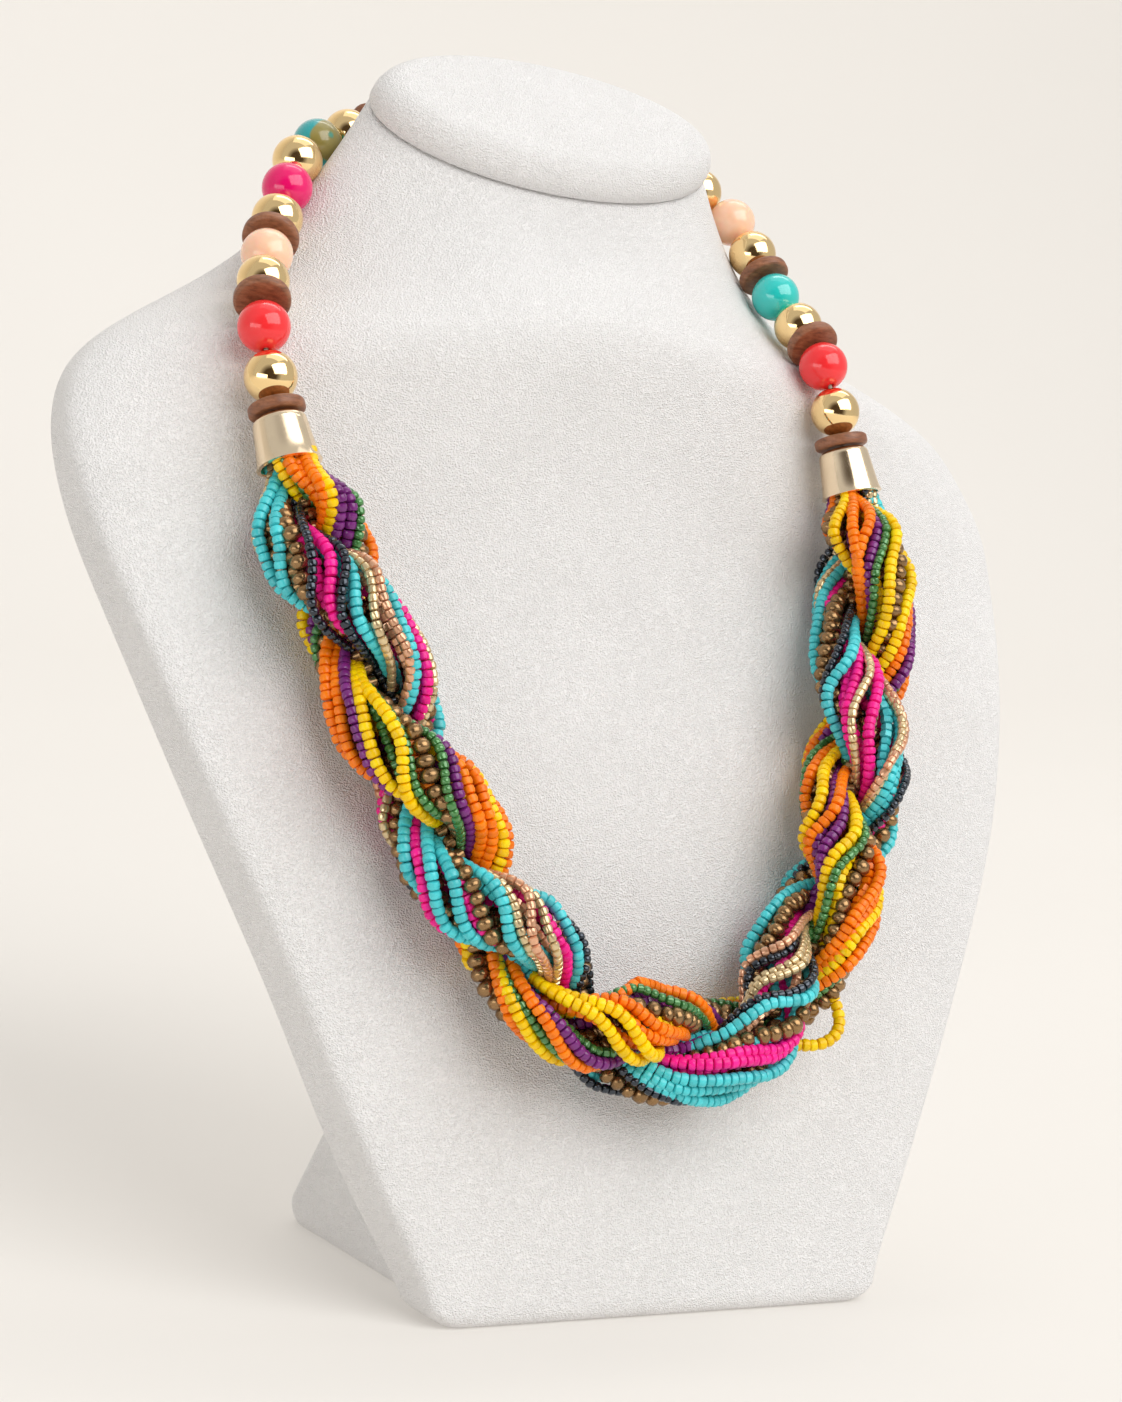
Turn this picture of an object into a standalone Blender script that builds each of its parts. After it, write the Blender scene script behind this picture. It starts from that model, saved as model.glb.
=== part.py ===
"""Beaded necklace on a plain neck bust.

A twisted two-strand braid of seed-bead strings hangs on the front of the bust between
two metal ferrules. From each ferrule a string of round beads and wooden discs runs
over the shoulder and round the back of the neck to a plain clasp.

Units are metres, +Z is up, the bust faces -Y and its front lower edge lies at the
origin, with the floor at z = 0.
"""

import math

import bpy
from mathutils import Matrix, Vector

# Bust: a padded board that leans back, a neck, a separate cap and a rear foot
BOARD_LEAN = math.radians(25.2)
BUST_RISE = 0.231
SHOULDER_HALF_WIDTH = 0.1065
BOARD_THICKNESS = 0.014
BOARD_BOW = 0.016
NECK_SWELL = 0.026
BOARD_EDGE_RADIUS = 0.003
CAP_HALF_WIDTH = 0.0394
CAP_HALF_DEPTH = 0.0186
CAP_TILT = math.radians(39.0)
CAP_THICKNESS = 0.0075
CAP_EDGE_RADIUS = 0.0060
CAP_SEAM_INSET = 0.0012
FOOT_DEPTH = 0.066
FOOT_RISE = 0.060
FOOT_HALF_WIDTH = 0.043
FOOT_EDGE_RADIUS = 0.005
FOOT_BASE_INSET = 0.002

# Beads, discs, ferrules, clasp and thread
ROUND_BEAD_DIAMETER = 0.0098
DISC_DIAMETER = 0.0105
DISC_THICKNESS = 0.0022
DISC_EDGE_RADIUS = 0.0008
BORE_DIAMETER = 0.0020
THREAD_DIAMETER = 0.0008
FERRULE_TOP_DIAMETER = 0.0100
FERRULE_MOUTH_DIAMETER = 0.0116
FERRULE_LENGTH = 0.0096
FERRULE_WALL = 0.0006
FERRULE_SHOULDER_RADIUS = 0.0010
CLASP_DIAMETER = 0.0050
CLASP_LENGTH = 0.0140
CLASP_END_RADIUS = 0.0010

# Braid: two strands laid round each other, each an oval bundle of bead strings
STRAND_DEPTH = 0.0098
STRAND_WIDTH = 0.0133
STRAND_END_DEPTH = 0.0045
STRAND_END_WIDTH = 0.0068
STRAND_SPREAD_LENGTH = 0.012
STRAND_INSET = 0.0020

# Clearance between two pieces that touch on the real object
SEAT_GAP = 0.0003

# Bust sections from the floor to the neck: place up the leaning board as a share of
# BUST_RISE, half width as a share of SHOULDER_HALF_WIDTH, forward bow as a share of
# BOARD_BOW, depth as a share of BOARD_THICKNESS, front and back swell as shares of
# NECK_SWELL, tilt as a share of the cap seat's tilt, and squareness (2 is an ellipse)
BUST_SECTIONS = [
    # rise, width, bow, depth, front, back, tilt, squareness
    (0.130, 0.588, 0.58, 1.00, 0.02, 0.00, 0.00, 6.0),
    (0.261, 0.712, 0.87, 1.00, 0.04, 0.00, 0.00, 6.0),
    (0.391, 0.833, 1.00, 1.00, 0.06, 0.00, 0.00, 6.0),
    (0.522, 0.926, 0.88, 1.00, 0.08, 0.00, 0.00, 6.0),
    (0.630, 0.985, 0.60, 1.00, 0.29, 0.00, 0.00, 5.5),
    (0.696, 1.000, 0.48, 1.04, 0.49, 0.00, 0.03, 5.0),
    (0.748, 0.975, 0.28, 1.05, 0.76, 0.00, 0.08, 4.5),
    (0.796, 0.905, 0.28, 1.35, 0.82, 0.05, 0.17, 4.2),
    (0.848, 0.705, 0.00, 1.45, 1.04, 0.10, 0.30, 3.0),
    (0.913, 0.505, 0.37, 1.85, 0.82, 0.05, 0.56, 2.2),
]
BASE_WIDTH_SHARE = 0.446
BASE_BOW_SHARE = 0.29
BASE_SQUARENESS = 6.0
CAP_BOW_SHARE = 1.13
SWELL_SHARPNESS = 0.9
CAP_SQUARENESS = 2.0

# Centre line of the necklace, chosen by hand: from the clasp at the back of the neck
# over the wearer's right shoulder, down, along the braid and up to the clasp again
NECKLACE_ROUTE = [
    (0.0001, 0.1087, 0.2166),
    (-0.0152, 0.1084, 0.2147),
    (-0.0292, 0.1060, 0.2114),
    (-0.0413, 0.1017, 0.2077),
    (-0.0506, 0.0947, 0.2029),
    (-0.0570, 0.0858, 0.1948),
    (-0.0638, 0.0769, 0.1862),
    (-0.0698, 0.0664, 0.1792),
    (-0.0734, 0.0584, 0.1730),
    (-0.0739, 0.0531, 0.1640),
    (-0.0730, 0.0470, 0.1526),
    (-0.0713, 0.0403, 0.1406),
    (-0.0684, 0.0339, 0.1298),
    (-0.0653, 0.0285, 0.1204),
    (-0.0610, 0.0235, 0.1110),
    (-0.0585, 0.0185, 0.1015),
    (-0.0550, 0.0142, 0.0935),
    (-0.0500, 0.0105, 0.0845),
    (-0.0450, 0.0065, 0.0750),
    (-0.0375, 0.0035, 0.0660),
    (-0.0270, 0.0002, 0.0565),
    (-0.0145, -0.0015, 0.0515),
    (0.0000, -0.0018, 0.0505),
    (0.0125, -0.0008, 0.0535),
    (0.0215, 0.0015, 0.0605),
    (0.0290, 0.0050, 0.0715),
    (0.0360, 0.0090, 0.0820),
    (0.0400, 0.0130, 0.0920),
    (0.0431, 0.0178, 0.1019),
    (0.0466, 0.0232, 0.1117),
    (0.0501, 0.0287, 0.1218),
    (0.0528, 0.0340, 0.1322),
    (0.0544, 0.0386, 0.1421),
    (0.0553, 0.0432, 0.1501),
    (0.0542, 0.0464, 0.1581),
    (0.0530, 0.0496, 0.1667),
    (0.0518, 0.0536, 0.1759),
    (0.0520, 0.0616, 0.1819),
    (0.0515, 0.0715, 0.1878),
    (0.0511, 0.0810, 0.1963),
    (0.0503, 0.0913, 0.2046),
    (0.0427, 0.0992, 0.2110),
    (0.0306, 0.1046, 0.2150),
    (0.0159, 0.1076, 0.2169),
]
LEFT_STRING_LENGTH = 0.1299
BRAID_LENGTH = 0.2721

# Lay of the braid: share of the braid's length, and half turns of the warm strand
BRAID_LAY = [
    (0.000, -1.53),
    (0.117, -0.50),
    (0.236, 0.50),
    (0.337, 1.50),
    (0.442, 2.50),
    (0.568, 3.50),
    (0.689, 4.50),
    (0.799, 5.50),
    (0.931, 6.50),
    (1.000, 7.08),
]

# Bead order from each ferrule to the clasp
LEFT_STRING = [
    "disc", "gold", "coral", "disc", "gold", "peach",
    "disc", "gold", "magenta", "gold", "two_tone", "gold",
]
RIGHT_STRING = [
    "disc", "gold", "coral", "disc", "gold", "teal",
    "disc", "gold", "peach", "gold", "magenta", "gold",
]

# Mesh fineness
BUST_RINGS = 28
BUST_SIDES = 40
CAP_SIDES = 40
EDGE_STEPS = 4
FOOT_RINGS = 6
BEAD_ARCS = 6
BEAD_SIDES = 12
FERRULE_SIDES = 16
STRAND_SIDES = 10
STRAND_RINGS = 88
THREAD_STEP = 0.004

# Colour, roughness and metallic value of each finish
FINISHES = {
    "bust_cover": ((0.78, 0.75, 0.72), 0.75, 0.0),
    "gold": ((0.83, 0.62, 0.28), 0.18, 1.0),
    "ferrule_gold": ((0.80, 0.66, 0.42), 0.25, 1.0),
    "coral": ((0.85, 0.06, 0.06), 0.20, 0.0),
    "peach": ((0.95, 0.55, 0.38), 0.25, 0.0),
    "magenta": ((0.80, 0.03, 0.25), 0.20, 0.0),
    "teal": ((0.05, 0.55, 0.55), 0.22, 0.0),
    "two_tone": ((0.16, 0.42, 0.36), 0.25, 0.0),
    "disc": ((0.19, 0.08, 0.05), 0.60, 0.0),
    "warm_strand": ((0.90, 0.35, 0.05), 0.40, 0.0),
    "cool_strand": ((0.06, 0.50, 0.58), 0.40, 0.0),
    "thread": ((0.70, 0.66, 0.60), 0.70, 0.0),
}

BOARD_NORMAL = Vector((0.0, -math.cos(BOARD_LEAN), math.sin(BOARD_LEAN)))
BOARD_UP = Vector((0.0, math.sin(BOARD_LEAN), math.cos(BOARD_LEAN)))


def clear_scene():
    for obj in list(bpy.data.objects):
        bpy.data.objects.remove(obj, do_unlink=True)


def make_collection(name):
    collection = bpy.data.collections.new(name)
    bpy.context.scene.collection.children.link(collection)
    return collection


def make_material(name):
    color, roughness, metallic = FINISHES[name]
    material = bpy.data.materials.new(name)
    material.use_nodes = True
    shader = material.node_tree.nodes["Principled BSDF"]
    shader.inputs["Base Color"].default_value = (*color, 1.0)
    shader.inputs["Roughness"].default_value = roughness
    shader.inputs["Metallic"].default_value = metallic
    material.diffuse_color = (*color, 1.0)
    return material


def link_object(name, data, finish):
    obj = bpy.data.objects.new(name, data)
    PIECES.objects.link(obj)
    if not data.materials:
        data.materials.append(MATERIALS[finish])
    return obj


def hermite_rows(rows, places):
    """Values of a table of rows at the given first-column places, on a smooth curve."""
    result = []
    last = len(rows) - 1
    for place in places:
        i = max(k for k in range(last) if k == 0 or rows[k][0] <= place)
        start, end = rows[i], rows[i + 1]
        before, after = rows[max(i - 1, 0)], rows[min(i + 2, last)]
        span = end[0] - start[0]
        t = (place - start[0]) / span
        values = []
        for a, b, p, q in zip(start, end, before, after):
            slope_a = (b - p) / (end[0] - before[0]) * span
            slope_b = (q - a) / (after[0] - start[0]) * span
            values.append(
                (2 * t**3 - 3 * t**2 + 1) * a
                + (t**3 - 2 * t**2 + t) * slope_a
                + (3 * t**2 - 2 * t**3) * b
                + (t**3 - t**2) * slope_b
            )
        result.append(values)
    return result


def loft(name, rings, finish):
    """One closed body through rings of equal point counts, with flat end faces."""
    sides = len(rings[0])
    points = [point for ring in rings for point in ring]
    faces = []
    for row in range(len(rings) - 1):
        for side in range(sides):
            low = row * sides + side
            low_next = row * sides + (side + 1) % sides
            faces.append((low, low_next, low_next + sides, low + sides))
    faces.append(tuple(reversed(range(sides))))
    faces.append(tuple(range(len(points) - sides, len(points))))
    mesh = bpy.data.meshes.new(name)
    mesh.from_pydata(points, [], faces)
    mesh.shade_smooth()
    mesh.set_sharp_from_angle(angle=math.radians(50))
    return link_object(name, mesh, finish)


def section_ring(centre, front, half_width, half_depth, front_swell, back_swell,
                 squareness, sides):
    """A rounded section in the plane of the X axis and the front direction."""
    ring = []
    for side in range(sides):
        angle = 2 * math.pi * side / sides
        across = math.cos(angle)
        body = (1 - abs(across) ** squareness) ** (1 / squareness) * half_depth
        swell = (1 - across**2) ** SWELL_SHARPNESS
        if math.sin(angle) < 0:
            depth = -(body + back_swell * swell)
        else:
            depth = body + front_swell * swell
        ring.append(centre + Vector((-across * half_width, 0, 0)) + front * depth)
    return ring


def board_place(rise, lift):
    return BOARD_UP * rise + BOARD_NORMAL * lift


def tilted_front(tilt):
    """Front direction of a section that is tilted down from the board's normal."""
    return BOARD_NORMAL * math.cos(tilt) - BOARD_UP * math.sin(tilt)


def bust_rows():
    """The section table in real sizes, with the base and the cap seat at its ends."""
    seat_tilt = BOARD_LEAN + CAP_TILT
    base_lift = BOARD_BOW * BASE_BOW_SHARE - BOARD_THICKNESS / 2
    rows = [(
        -base_lift * math.tan(BOARD_LEAN), SHOULDER_HALF_WIDTH * BASE_WIDTH_SHARE,
        base_lift, BOARD_THICKNESS / 2, 0.0, 0.0, BOARD_LEAN, BASE_SQUARENESS,
    )]
    for rise, width, bow, depth, front, back, tilt, squareness in BUST_SECTIONS:
        rows.append((
            rise * BUST_RISE, width * SHOULDER_HALF_WIDTH,
            bow * BOARD_BOW - BOARD_THICKNESS / 2, depth * BOARD_THICKNESS / 2,
            front * NECK_SWELL, back * NECK_SWELL, tilt * seat_tilt, squareness,
        ))
    rows.append((
        BUST_RISE, CAP_HALF_WIDTH - CAP_SEAM_INSET,
        CAP_BOW_SHARE * BOARD_BOW - BOARD_THICKNESS / 2,
        CAP_HALF_DEPTH - CAP_SEAM_INSET, 0.0, 0.0, seat_tilt, CAP_SQUARENESS,
    ))
    return rows


def bust_ring(row, inset, sides):
    rise, width, lift, depth, front, back, tilt, squareness = row
    return section_ring(
        board_place(rise, lift), tilted_front(tilt), width - inset, depth - inset,
        front, back, squareness, sides,
    )


def build_bust_body():
    rows = bust_rows()
    first, last = rows[0][0], rows[-1][0]
    edge_places = [first + BOARD_EDGE_RADIUS * share for share in (0.0, 0.3, 1.0)]
    step = (last - edge_places[-1]) / BUST_RINGS
    places = edge_places + [edge_places[-1] + step * (k + 1) for k in range(BUST_RINGS)]
    insets = [BOARD_EDGE_RADIUS, 0.3 * BOARD_EDGE_RADIUS] + [0.0] * (len(places) - 2)
    rings = [
        bust_ring(row, inset, BUST_SIDES)
        for row, inset in zip(hermite_rows(rows, places), insets)
    ]
    return loft("neck_bust", rings, "bust_cover")


def build_cap():
    """A padded oval cap, seated on the neck's slanting top."""
    seat = bust_rows()[-1]
    front = tilted_front(seat[6])
    normal = Vector((1, 0, 0)).cross(-front).normalized()
    centre = board_place(seat[0], seat[2])
    profile = [(0.0, CAP_SEAM_INSET), (CAP_SEAM_INSET, 0.0)]
    for k in range(EDGE_STEPS + 1):
        angle = math.pi / 2 * k / EDGE_STEPS
        height = CAP_THICKNESS - CAP_EDGE_RADIUS * (1 - math.sin(angle))
        profile.append((height, CAP_EDGE_RADIUS * (1 - math.cos(angle))))
    rings = []
    for height, inset in profile:
        rings.append(section_ring(
            centre + normal * (height + SEAT_GAP), front, CAP_HALF_WIDTH - inset,
            CAP_HALF_DEPTH - inset, 0.0, 0.0, CAP_SQUARENESS, CAP_SIDES,
        ))
    return loft("bust_cap", rings, "bust_cover")


def board_back(height):
    """Y of the board's back surface on its middle line at a height above the floor."""
    rows = bust_rows()
    first, last = rows[0][0], rows[-1][0]
    places = [first + (last - first) * k / BUST_RINGS for k in range(BUST_RINGS + 1)]
    low = None
    for rise, _, lift, depth, _, back, tilt, _ in hermite_rows(rows, places):
        point = board_place(rise, lift) - tilted_front(tilt) * (depth + back)
        if low is not None and point.z >= height:
            share = (height - low.z) / (point.z - low.z)
            return low.y + (point.y - low.y) * share
        low = point
    return low.y


def build_foot():
    """A wedge behind the board whose back face leans towards the board."""
    edge = FOOT_EDGE_RADIUS
    rows = []
    for k in range(EDGE_STEPS + 1):
        angle = math.pi / 2 * k / EDGE_STEPS
        rows.append((edge * (1 - math.cos(angle)), FOOT_BASE_INSET * (1 - math.sin(angle))))
    for k in range(FOOT_RINGS):
        rows.append((edge + (FOOT_RISE - edge) * (k + 1) / FOOT_RINGS, 0.0))
    top_far = board_back(FOOT_RISE) + SEAT_GAP + edge
    rings = []
    for height, inset in rows:
        slant = max(height - edge, 0.0) / (FOOT_RISE - edge)
        near = board_back(height) + SEAT_GAP
        far = FOOT_DEPTH + (top_far - FOOT_DEPTH) * slant - inset
        half = FOOT_HALF_WIDTH - inset
        left, right = [], []
        for k in range(EDGE_STEPS + 1):
            angle = math.pi / 2 * k / EDGE_STEPS
            along = far - edge * (1 - math.sin(angle))
            across = half - edge * (1 - math.cos(angle))
            right.append(Vector((across, max(along, near), height)))
            left.append(Vector((-across, max(along, near), height)))
        rings.append(
            [Vector((-half, near, height)), Vector((half, near, height))]
            + right[1:] + list(reversed(left[1:]))
        )
    return loft("bust_foot", rings, "bust_cover")


class Route:
    """A closed smooth curve through the chosen points, measured along its length."""

    def __init__(self, points, steps=24):
        nodes = [Vector(point) for point in points]
        count = len(nodes)
        self.points = []
        for i in range(count):
            p0, p1 = nodes[i - 1], nodes[i]
            p2, p3 = nodes[(i + 1) % count], nodes[(i + 2) % count]
            for k in range(steps):
                self.points.append(catmull_rom(p0, p1, p2, p3, k / steps))
        self.points.append(nodes[0].copy())
        self.reach = [0.0]
        for a, b in zip(self.points, self.points[1:]):
            self.reach.append(self.reach[-1] + (b - a).length)
        self.length = self.reach[-1]

    def at(self, distance):
        distance %= self.length
        low, high = 0, len(self.reach) - 1
        while high - low > 1:
            middle = (low + high) // 2
            if self.reach[middle] <= distance:
                low = middle
            else:
                high = middle
        span = self.reach[high] - self.reach[low]
        share = (distance - self.reach[low]) / span
        return self.points[low].lerp(self.points[high], share)

    def frame(self, distance, reach=0.0015):
        """Tangent, outward direction and direction off the board at a distance."""
        tangent = (self.at(distance + reach) - self.at(distance - reach)).normalized()
        lifted = BOARD_NORMAL - tangent * BOARD_NORMAL.dot(tangent)
        lifted.normalize()
        return tangent, tangent.cross(lifted), lifted


def catmull_rom(p0, p1, p2, p3, t):
    """Point on the centripetal curve between p1 and p2."""
    t0 = 0.0
    t1 = t0 + math.sqrt((p1 - p0).length)
    t2 = t1 + math.sqrt((p2 - p1).length)
    t3 = t2 + math.sqrt((p3 - p2).length)
    t = t1 + (t2 - t1) * t
    a1 = p0 * ((t1 - t) / (t1 - t0)) + p1 * ((t - t0) / (t1 - t0))
    a2 = p1 * ((t2 - t) / (t2 - t1)) + p2 * ((t - t1) / (t2 - t1))
    a3 = p2 * ((t3 - t) / (t3 - t2)) + p3 * ((t - t2) / (t3 - t2))
    b1 = a1 * ((t2 - t) / (t2 - t0)) + a2 * ((t - t0) / (t2 - t0))
    b2 = a2 * ((t3 - t) / (t3 - t1)) + a3 * ((t - t1) / (t3 - t1))
    return b1 * ((t2 - t) / (t2 - t1)) + b2 * ((t - t1) / (t2 - t1))


def turned_mesh(name, profile):
    """A closed outline at +X, outer side from top to bottom, for a Screw modifier."""
    points = [(radius, 0.0, height) for radius, height in profile]
    edges = [(i, (i + 1) % len(points)) for i in range(len(points))]
    mesh = bpy.data.meshes.new(name)
    mesh.from_pydata(points, edges, [])
    return mesh


def turned_object(name, mesh, finish, sides):
    obj = link_object(name, mesh, finish)
    screw = obj.modifiers.new("turn", "SCREW")
    screw.axis = "Z"
    screw.angle = 2 * math.pi
    screw.steps = sides
    screw.render_steps = sides
    screw.use_smooth_shade = True
    return obj


def seat_on_route(obj, route, distance, length, downwards=False):
    """Lay the object's Z axis along the route, or against it, over its own length."""
    tangent, outward, _ = route.frame(distance, length / 2)
    if downwards:
        tangent, outward = -tangent, -outward
    chord = route.at(distance - length / 2).lerp(route.at(distance + length / 2), 0.5)
    middle = chord.lerp(route.at(distance), 0.5)
    axes = Matrix((outward, tangent.cross(outward), tangent)).transposed()
    obj.matrix_world = Matrix.Translation(middle) @ axes.to_4x4()


def round_bead_mesh(finish):
    radius, bore = ROUND_BEAD_DIAMETER / 2, BORE_DIAMETER / 2
    start = math.asin(bore / radius)
    profile = []
    for k in range(BEAD_ARCS + 1):
        angle = start + (math.pi - 2 * start) * k / BEAD_ARCS
        profile.append((radius * math.sin(angle), radius * math.cos(angle)))
    return turned_mesh("bead_" + finish, profile)


def disc_mesh():
    radius, half = DISC_DIAMETER / 2, DISC_THICKNESS / 2
    bore, edge = BORE_DIAMETER / 2, DISC_EDGE_RADIUS
    profile = [
        (bore, half), (radius - edge, half), (radius, half - edge),
        (radius, edge - half), (radius - edge, -half), (bore, -half),
    ]
    return turned_mesh("disc", profile)


def ferrule_mesh():
    """A cup with its mouth down and the thread's hole in its closed top."""
    mouth, top = FERRULE_MOUTH_DIAMETER / 2, FERRULE_TOP_DIAMETER / 2
    wall, half, corner = FERRULE_WALL, FERRULE_LENGTH / 2, FERRULE_SHOULDER_RADIUS
    bore = BORE_DIAMETER / 2
    profile = [
        (bore, half), (top - corner, half), (top - 0.3 * corner, half - 0.3 * corner),
        (top, half - corner), (mouth, -half), (mouth - wall, -half),
        (top - wall, half - corner - wall), (top - corner - wall, half - wall),
        (bore, half - wall),
    ]
    return turned_mesh("ferrule", profile)


def clasp_mesh():
    radius, half, edge = CLASP_DIAMETER / 2, CLASP_LENGTH / 2, CLASP_END_RADIUS
    bore = BORE_DIAMETER / 2
    profile = [
        (bore, half), (radius - edge, half), (radius, half - edge),
        (radius, edge - half), (radius - edge, -half), (bore, -half),
    ]
    return turned_mesh("clasp", profile)


def piece_length(kind):
    return DISC_THICKNESS if kind == "disc" else ROUND_BEAD_DIAMETER


def build_string(route, side, kinds, start, end):
    """Beads from a ferrule towards the clasp, each touching the last one."""
    direction = 1 if end > start else -1
    room = abs(end - start)
    place, index, number = 0.0, 0, 0
    while True:
        kind = kinds[index % len(kinds)]
        length = piece_length(kind) + SEAT_GAP
        if place + length > room:
            break
        number += 1
        if kind not in BEAD_MESHES:
            is_disc = kind == "disc"
            BEAD_MESHES[kind] = disc_mesh() if is_disc else round_bead_mesh(kind)
        name = f"{side}_{number:02d}_{kind}"
        obj = turned_object(name, BEAD_MESHES[kind], kind, BEAD_SIDES)
        middle = start + direction * (place + length / 2)
        seat_on_route(obj, route, middle, length)
        place += length
        index += 1


def build_thread(name, route, start, end):
    steps = max(2, round(abs(end - start) / THREAD_STEP))
    curve = bpy.data.curves.new(name, "CURVE")
    curve.dimensions = "3D"
    curve.bevel_depth = THREAD_DIAMETER / 2
    curve.bevel_resolution = 2
    curve.use_fill_caps = True
    spline = curve.splines.new("POLY")
    spline.points.add(steps)
    for k in range(steps + 1):
        point = route.at(start + (end - start) * k / steps)
        spline.points[k].co = (*point, 1.0)
    return link_object(name, curve, "thread")


def strand_size(distance, length):
    """Half depth and half width of a strand, gathered where a ferrule holds it."""
    reach = min(distance, length - distance) - STRAND_INSET
    share = min(max(reach / STRAND_SPREAD_LENGTH, 0.0), 1.0)
    share = share * share * (3 - 2 * share)
    depth = STRAND_END_DEPTH + (STRAND_DEPTH - STRAND_END_DEPTH) * share
    width = STRAND_END_WIDTH + (STRAND_WIDTH - STRAND_END_WIDTH) * share
    return depth / 2, width / 2


def lay_turn(share):
    return hermite_rows(BRAID_LAY, [share])[0][1] * math.pi


def build_strand(name, route, start, length, phase, finish):
    rings = []
    for k in range(STRAND_RINGS + 1):
        share = k / STRAND_RINGS
        distance = share * length
        _, outward, lifted = route.frame(start + distance)
        angle = lay_turn(share) + phase
        radial = outward * math.cos(angle) + lifted * math.sin(angle)
        along = lifted * math.cos(angle) - outward * math.sin(angle)
        half_depth, half_width = strand_size(distance, length)
        centre = route.at(start + distance) + radial * (half_depth + SEAT_GAP / 2)
        ring = []
        for side in range(STRAND_SIDES):
            turn = 2 * math.pi * side / STRAND_SIDES
            ring.append(
                centre + radial * (half_depth * math.cos(turn))
                - along * (half_width * math.sin(turn))
            )
        rings.append(ring)
    return loft(name, rings, finish)


def build_necklace():
    route = Route(NECKLACE_ROUTE)
    left_mouth = LEFT_STRING_LENGTH + FERRULE_LENGTH
    right_mouth = left_mouth + BRAID_LENGTH

    ferrule = ferrule_mesh()
    left = turned_object("ferrule_left", ferrule, "ferrule_gold", FERRULE_SIDES)
    half_ferrule = FERRULE_LENGTH / 2
    seat_on_route(left, route, left_mouth - half_ferrule, FERRULE_LENGTH, True)
    right = turned_object("ferrule_right", ferrule, "ferrule_gold", FERRULE_SIDES)
    seat_on_route(right, route, right_mouth + half_ferrule, FERRULE_LENGTH)

    clasp = turned_object("clasp", clasp_mesh(), "ferrule_gold", BEAD_SIDES)
    seat_on_route(clasp, route, 0.0, CLASP_LENGTH)

    half_clasp = CLASP_LENGTH / 2 + SEAT_GAP
    left_top = LEFT_STRING_LENGTH - SEAT_GAP
    right_top = right_mouth + FERRULE_LENGTH + SEAT_GAP
    build_string(route, "left", LEFT_STRING, left_top, half_clasp)
    build_string(route, "right", RIGHT_STRING, right_top, route.length - half_clasp)

    tail = FERRULE_WALL + BORE_DIAMETER / 2
    build_thread("thread_left", route, CLASP_LENGTH / 4, left_top + tail)
    build_thread("thread_right", route, right_top - tail, route.length - CLASP_LENGTH / 4)

    start = left_mouth - STRAND_INSET
    length = BRAID_LENGTH + 2 * STRAND_INSET
    build_strand("strand_warm", route, start, length, 0.0, "warm_strand")
    build_strand("strand_cool", route, start, length, math.pi, "cool_strand")


clear_scene()
PIECES = make_collection("beaded_necklace_on_bust")
MATERIALS = {finish: make_material(finish) for finish in FINISHES}
BEAD_MESHES = {}
build_bust_body()
build_cap()
build_foot()
build_necklace()
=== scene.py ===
"""Looks of the beaded necklace on its neck bust: fine surfaces, materials, light, camera."""

import math
import random

import bpy
from mathutils import Matrix, Vector, noise


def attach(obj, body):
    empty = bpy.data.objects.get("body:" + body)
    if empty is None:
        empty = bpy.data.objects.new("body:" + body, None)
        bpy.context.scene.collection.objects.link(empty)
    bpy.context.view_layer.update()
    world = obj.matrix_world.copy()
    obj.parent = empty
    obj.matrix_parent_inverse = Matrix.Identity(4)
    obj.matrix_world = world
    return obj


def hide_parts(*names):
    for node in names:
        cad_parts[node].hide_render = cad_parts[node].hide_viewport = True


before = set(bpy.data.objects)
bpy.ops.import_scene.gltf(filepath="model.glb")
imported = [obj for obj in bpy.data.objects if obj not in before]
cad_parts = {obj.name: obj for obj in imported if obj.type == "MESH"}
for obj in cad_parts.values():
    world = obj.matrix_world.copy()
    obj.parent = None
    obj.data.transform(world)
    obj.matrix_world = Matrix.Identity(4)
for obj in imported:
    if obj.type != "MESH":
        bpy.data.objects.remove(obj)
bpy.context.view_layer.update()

# Direction of the dim part of the room that the metals mirror
DIM_ROOM = (-0.50, -0.85, 0.16)

# Camera at the photograph's angle
VIEW_AZIMUTH = -0.5887
VIEW_ELEVATION = 0.1049
VIEW_ROLL = 0.1256
VIEW_DISTANCE = 0.62
VIEW_TARGET = Vector((-0.0105, 0.04, 0.1072))
LENS = 105.09
SENSOR = 36.0

# Bust sizes, as in the CAD model
BOARD_LEAN = math.radians(25.2)
BUST_RISE = 0.231
SHOULDER_HALF_WIDTH = 0.1065
BOARD_THICKNESS = 0.014
BOARD_BOW = 0.016
NECK_SWELL = 0.026
BOARD_EDGE_RADIUS = 0.003
CAP_HALF_WIDTH = 0.0394
CAP_HALF_DEPTH = 0.0186
CAP_TILT = math.radians(39.0)
CAP_THICKNESS = 0.0075
CAP_EDGE_RADIUS = 0.0060
FOOT_DEPTH = 0.066
FOOT_RISE = 0.060
FOOT_HALF_WIDTH = 0.043
FOOT_EDGE_RADIUS = 0.005
FOOT_BASE_INSET = 0.002
BASE_WIDTH_SHARE = 0.446
BASE_BOW_SHARE = 0.29
BASE_SQUARENESS = 6.0
CAP_BOW_SHARE = 1.13
SWELL_SHARPNESS = 0.9
CAP_SQUARENESS = 2.0

# Inset of the seam under the cap, finer than in the CAD model, and rise of the cap's crown
CAP_SEAM_INSET = 0.0005
CAP_CROWN = 0.0006

# Points on a quarter of a section
BUST_QUARTER = 44
CAP_QUARTER = 40

# Sections of the bust here and in the CAD model, and how many are averaged either way
BUST_RINGS = 150
CAD_BUST_RINGS = 28
SOFT_REACH = 6

# Share of a section's half width where its side edge begins
SIDE_EDGE_SHARE = 0.9

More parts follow.
